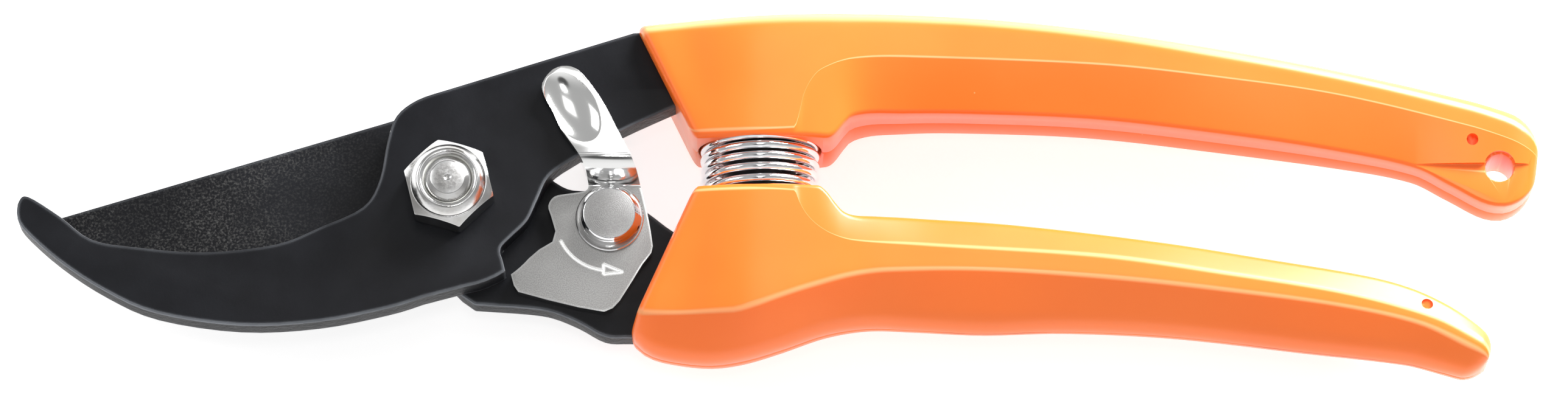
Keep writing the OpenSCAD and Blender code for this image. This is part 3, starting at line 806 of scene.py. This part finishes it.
def drawn_in(points, sideways, upright):
    """A section's points, drawn in towards its middle by two distances."""
    low = min(points, key=lambda point: point.y)
    high = max(points, key=lambda point: point.y)
    middle = Vector(((low.x + high.x) / 2, (low.y + high.y) / 2, 0))
    across = 1 - 2 * sideways / (high.y - low.y)
    tall = 1 - upright / max(point.z for point in points)
    return [middle + (point - middle) * Vector((across, across, tall)) for point in points]


def mould_grip(name, lines, marks, tip):
    """A grip wrapped round its sections, just rounded at the boss and more at the tip, where three
    distances say how far along, across and up."""
    stations = spaced(marks)
    start, end = stations[0], stations[-1]
    turns = [math.pi / 2 * k / end_rings for k in range(end_rings)]
    plan = []
    for a in turns:
        inset = end_round * (1 - math.sin(a))
        plan.append((start + end_round * (1 - math.cos(a)), inset, inset))
    plan += [(x, 0, 0) for x in stations if start + end_round <= x <= end - tip[0]]
    for a in reversed(turns):
        left = 1 - math.sin(a)
        plan.append((end - tip[0] * (1 - math.cos(a)), tip[1] * left, tip[2] * left))
    rings = []
    for x, sideways, upright in plan:
        section = grip_section(lines, x, along(lines["lean"], x), along(lines["middle"], x))
        rings.append(drawn_in(section, sideways, upright))
    return wrap(name, rings, crease_shine())


def pin_hole(at, side):
    """The tool for a small hole that a mould pin leaves, from one face down to a floor of plastic."""
    low, high = sorted((side * pin_floor, side * 9))
    return lathe("pin_tool", [(0, low), (pin_r, low), (pin_r, high), (0, high)], at=(*at, 0), steps=32)


def hole_tool(at, r, half, flare):
    """The tool for a through hole with rounded mouths."""
    mouth = arc((r + flare, half - flare), flare, 90, 180, 5)
    side = [(r + flare, half + 3)] + mouth
    profile = [(0, half + 3)] + side + [(x, -z) for x, z in reversed(side)] + [(0, -half - 3)]
    return lathe("hole_tool", profile, at=(*at, 0), steps=48)


def pocket_tool(y, side):
    """The tool for the spring's seat, sunk into a boss from its face, with a rounded mouth."""
    mouth = arc((pocket_r + pocket_lip, pocket_lip), pocket_lip, -90, -180, 4)
    profile = [(0, -2), (pocket_r + pocket_lip, -2)] + mouth + [(pocket_r, pocket_depth), (0, pocket_depth)]
    turned = [(r, side * h) for r, h in profile]
    return lathe("pocket_tool", turned, at=(boss_x, y, 0), along_y=True)


def box_tool(low, high):
    """A plain block between two corners, in mm from the hinge, its edges just rounded."""
    low, high = Vector(low), Vector(high)
    bpy.ops.object.select_all(action="DESELECT")
    bpy.ops.mesh.primitive_cube_add(size=MM)
    block = bpy.context.object
    bpy.ops.object.mode_set(mode="EDIT")
    bpy.ops.transform.resize(value=high - low, center_override=(0, 0, 0))
    bpy.ops.transform.translate(value=hinge + (low + high) / 2 * MM)
    bpy.ops.object.mode_set(mode="OBJECT")
    round_edges(block, 0.25 * MM)
    return block


def moulded_orange(name):
    """Glossy orange plastic with a faint flow cloud, a fine moulded texture, a few pale specks, and a painted
    pale highlight along the creases of the faces.
    """
    material, draw, shader = material_named(name, ior=1.46, coat=0.5, coat_rough=0.25)
    shader["Specular IOR Level"].default_value = 0.25
    grain = use_group(draw, grain_group, {"Scale": 1400.0, "Cloud Scale": 28.0})
    lint = use_group(draw, speck_group, {"Scale": 260.0, "Size": 0.03})["Speck"]
    crease = draw.add("Attribute", out="Fac", attribute_name="crease")
    cloud = draw.ramp(grain["Cloud"], 0.3, 0.7, 0, 1)
    color = draw.blend(cloud, (1.0, 0.168, 0.016, 1), (1.0, 0.19, 0.021, 1))
    # Painted highlight: a pale orange line along the face's creases, read from the crease attribute and
    # broken up by the clouds.
    folds = draw.ramp(crease, 0.15, 0.95, 0, 1)
    uneven = draw.ramp(grain["Cloud"], 0.2, 0.6, 0.5, 1)
    painted_crease_shine = draw.add("Math", {0: folds, 1: uneven}, operation="MULTIPLY")
    color = draw.blend(painted_crease_shine, color, (1.0, 0.42, 0.17, 1))
    color = draw.blend(lint, color, (1.0, 0.34, 0.12, 1))
    finish(draw, shader, Base_Color=color, Roughness=draw.ramp(grain["Cloud"], 0.3, 0.7, 0.32, 0.42),
           Normal=relief(draw, grain["Grain"], 0.05, 0.1 * MM))
    return material


orange_plastic = moulded_orange("orange_plastic")
boss_face = [(20, 6.7), (31, 7.3), (36, 8.3), (40, 8.85), (43, 8.98), (47, 8.85), (52, 8.5), (58, 8.0),
             (66, 7.6), (76, 7.35)]

# Each line gives a value against the distance from the hinge along the shears, in mm: the grip's four
# long edges in plan, how far its face, back edge and fore edge stand out from the middle plane, the
# rounding of each edge, and how far the section planes lean, and about which height.
upper_lines = {
    "back": [(20, 22.4), (27, 23.3), (40, 24.4), (55, 24.88), (71.9, 24.3), (87.8, 22.7), (104.7, 20.1),
             (121.6, 16.9), (139.4, 12.8), (146, 10.9), (150, 9.8)],
    "out_edge": [(20, 21.4), (27, 22.3), (40, 23.4), (55, 23.9), (71.9, 23.3), (87.8, 21.7), (104.7, 19.0),
                 (121.6, 15.8), (139.4, 11.5), (146, 9.4), (150, 8.3)],
    "in_edge": [(20, 7.6), (47.0, 7.6), (47.7, 9.6), (48.2, 12.0), (49.3, 14.4), (50.8, 16.0), (55, 17.6),
                (63, 18.0), (87.8, 17.1), (104.7, 15.3), (121.6, 12.9), (139.4, 8.7), (146, 6.6), (150, 5.4)],
    "fore": [(20, 6.5), (51.2, 6.5), (52.4, 7.0), (55, 9.9), (62, 10.6), (71.9, 10.6), (87.8, 9.9),
             (104.7, 7.9), (121.6, 5.4), (131.9, 3.2), (136.6, 0.7), (142.2, -2.1), (150, -2.1)],
    "face": boss_face + [(101.9, 7.2), (139.4, 5.6), (148.8, 4.9)],
    "back_half": [(20, 5), (55, 5), (139.4, 4), (148.8, 3.2)],
    "fore_half": [(20, 6.3), (31, 6.9), (37, 8.0), (43, 8.6), (47, 8.5), (50, 8.1), (53, 7.2), (58, 5.9),
                  (66, 5.2), (111.3, 5), (131.9, 4.1), (148.8, 4.1)],
    "back_round": [(20, 1.6), (150, 1.4)],
    "out_round": [(20, 2.4), (150, 2.0)],
    "in_round": [(20, 1.8), (150, 1.6)],
    "fore_round": [(20, 0.9), (150, 0.7)],
    "lean": [(29.6, -0.484), (38, -0.1), (42, 0), (128, 0), (138, 0.12), (148.6, 0.12)],
    "middle": [(29.6, 14.35), (128, 10), (148.6, 4.5)],
}
upper_marks = [(29.6, 0.9), (46.4, 0.3), (53, 0.8), (60, 1.8), (128, 1.0), (148.6, 1)]
upper_tip = (4.6, 4.4, 1.7)
upper_seat = 6.5
upper_pin_at = (139.6, 6.9)
hang_at = (143.3, 3.2)
hang_r = 1.95
hang_flare = 0.2
lug_half = 4.1
lug_from = 131.8
lug_edge = 3.7
upper_grip = mould_grip("upper_handle", upper_lines, upper_marks, upper_tip)
combine(upper_grip, pocket_tool(upper_seat, 1))
for side in (1, -1):
    heights = sorted((side * lug_half, side * 12))
    combine(upper_grip, box_tool((lug_from, -12, heights[0]), (160, lug_edge, heights[1])))
    combine(upper_grip, pin_hole(upper_pin_at, side))
combine(upper_grip, hole_tool(hang_at, hang_r, lug_half, hang_flare))
combine(upper_grip, blank_from("hook_plate", "tang_tool"))
assemble(upper_grip, orange_plastic, "upper_half", "orange_plastic", "upper_grip", turn=35)

lower_lines = {
    "fore": [(20, -0.4), (50.2, -0.4), (51.4, -1.2), (52.4, -2.5), (53.6, -3.8), (55, -4.3), (58, -4.3),
             (63.7, -4.4), (76.8, -5.2), (96.9, -7.6), (110.9, -9.8), (124.8, -12.1), (131, -13.8),
             (136.2, -16.3), (139.7, -18.8), (143, -21.9)],
    "in_edge": [(20, -1.3), (47.0, -1.3), (47.7, -3.0), (48.6, -4.6), (50, -6.1), (52.1, -7.4), (55, -8.2),
                (63.7, -8.6), (88.2, -10.1), (104.8, -12.4), (121.3, -15.0), (133.6, -18.2), (138.8, -20.6),
                (143, -23.0)],
    "out_edge": [(20, -18.0), (38.6, -18.2), (41.5, -17.5), (45, -16.2), (49, -14.8), (55, -13.0),
                 (60, -12.3), (72.5, -12.1), (88.2, -13.1), (104.8, -14.8), (121.3, -16.9),
                 (131.8, -19.2), (138.8, -22.4), (143, -24.2)],
    "back": [(20, -18.6), (24.4, -20.1), (27, -22.2), (30, -23.2), (35.5, -23.8), (40, -23.2), (45, -21.7),
             (51.3, -19.5), (57, -18.6), (63, -18.8), (72.5, -19.3), (83.8, -19.0), (98.7, -19.7),
             (116.1, -21.8), (130.1, -23.5), (135.3, -24.8), (139.7, -26.0), (143, -26.0)],
    "face": boss_face + [(98.7, 7.2), (133.6, 5.6), (142.3, 4.9)],
    "back_half": [(20, 3.0), (55, 2.8), (133.6, 2.6), (142.3, 2.4)],
    "fore_half": [(20, 6.3), (31, 6.9), (37, 8.0), (43, 8.65), (47, 8.6), (50, 8.35), (53, 7.85), (58, 6.9),
                  (66, 5.9), (107.4, 5), (131.8, 4.1), (142.3, 3.6)],
    "back_round": [(20, 5), (150, 5)],
    "out_round": [(20, 1.8), (38, 1.8), (150, 1.8)],
    "in_round": [(20, 1.5), (54, 1.8), (64, 2.5), (150, 2.0)],
    "fore_round": [(20, 0.9), (48, 0.7), (60, 1.5), (150, 1.2)],
    "lean": [(29.4, 0.447), (38, 0.1), (42, 0), (118, 0), (130, 0.3), (141.4, 0.65)],
    "middle": [(29.4, -9.35), (118, -16), (141.4, -23.2)],
}
lower_marks = [(29.4, 0.9), (46.4, 0.3), (56, 0.8), (62, 1.8), (118, 1.0), (141.4, 1)]
lower_tip = (2.6, 2.2, 1.5)
lower_seat = -0.4
lower_pin_at = (132.9, -16.3)
lower_grip = mould_grip("lower_handle", lower_lines, lower_marks, lower_tip)
combine(lower_grip, pocket_tool(lower_seat, -1))
for side in (1, -1):
    combine(lower_grip, pin_hole(lower_pin_at, side))
combine(lower_grip, blank_from("blade_plate", "tang_tool"))
assemble(lower_grip, orange_plastic, "lower_half", "orange_plastic", "lower_grip", turn=35)

# ---- Return spring ----
# Bright plated spring wire, wound seven and a half turns and seated in the pockets of both bosses.
# Its turns nearly touch at the upper grip and stand open at the lower one.
wire_r = 0.6
spring_turns = 7.5
coil_r = 7.575
spring_low = -3.35
spring_high = 9.45
tight = 0.8
turn_steps = 56
wire_sides = 16


def coil_rings():
    """The rings of the wound wire, from the upper seat down to the lower one."""
    rings = []
    steps = round(spring_turns * turn_steps)
    for k in range(steps + 1):
        share = k / steps
        turn = math.radians(360 * spring_turns * share - 90)
        fall = (spring_high - spring_low - 2 * wire_r) * (tight * share + (1 - tight) * share * share)
        out = Vector((math.cos(turn), 0, math.sin(turn)))
        middle = Vector((boss_x, spring_high - wire_r - fall, 0)) + coil_r * out
        sides = [2 * math.pi * j / wire_sides for j in range(wire_sides)]
        rings.append([middle + wire_r * (math.cos(a) * out + math.sin(a) * Vector((0, 1, 0))) for a in sides])
    return rings


def plated_wire(name):
    """Bright plated wire with fine drawing grain and faint clouds."""
    material, draw, shader = material_named(name, metallic=1.0)
    grain = use_group(draw, grain_group, {"Scale": 5000.0, "Cloud Scale": 500.0})
    cloud = draw.ramp(grain["Cloud"], 0.3, 0.7, 0, 1)
    color = draw.blend(cloud, (0.80, 0.80, 0.82, 1), (0.92, 0.92, 0.93, 1))
    finish(draw, shader, Base_Color=color, Roughness=draw.ramp(grain["Cloud"], 0.3, 0.7, 0.06, 0.12),
           Normal=relief(draw, grain["Grain"], 0.06, 0.05 * MM))
    return material


spring = wrap("wound_spring", coil_rings())
assemble(spring, plated_wire("spring_wire"), None, "spring_steel", "return_spring", turn=60)
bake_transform(spring)

# ---- Rubber bumper ----
# A moulded black rubber plug, pressed into the lower seat. It keeps the spring upright and stops the
# grips before they meet, so its crown is polished by the upper boss.
bumper_low = face_height("spring_bumper", 0, axis=1)
bumper_high = face_height("spring_bumper", 1, axis=1)
bumper_profile = [(0, bumper_low), (5.0, bumper_low), (5.2, bumper_low + 0.2), (5.2, bumper_low + 3.4),
                  (4.95, bumper_low + 4.0), (4.95, bumper_high - 2.2)]
bumper_profile += arc((3.75, bumper_high - 1.6), 1.2, 0, 60, 5)
bumper_profile += [(2.6, bumper_high - 0.15), (0, bumper_high)]
bumper = lathe("rubber_bumper", bumper_profile, at=(boss_x, 0, 0), along_y=True)
rubber, rubber_draw, rubber_shader = material_named("black_rubber")
rubber_grain = use_group(rubber_draw, grain_group, {"Scale": 2200.0, "Cloud Scale": 150.0})
rubber_dark = rubber_draw.ramp(rubber_grain["Cloud"], 0.3, 0.7, 0, 1)
finish(rubber_draw, rubber_shader,
       Base_Color=rubber_draw.blend(rubber_dark, (0.009, 0.009, 0.010, 1), (0.018, 0.018, 0.019, 1)),
       Roughness=rubber_draw.ramp(rubber_grain["Cloud"], 0.3, 0.7, 0.26, 0.4),
       Normal=relief(rubber_draw, rubber_grain["Grain"], 0.1, 0.1 * MM))
assemble(bumper, rubber, "lower_half", "black_rubber", "spring_bumper")
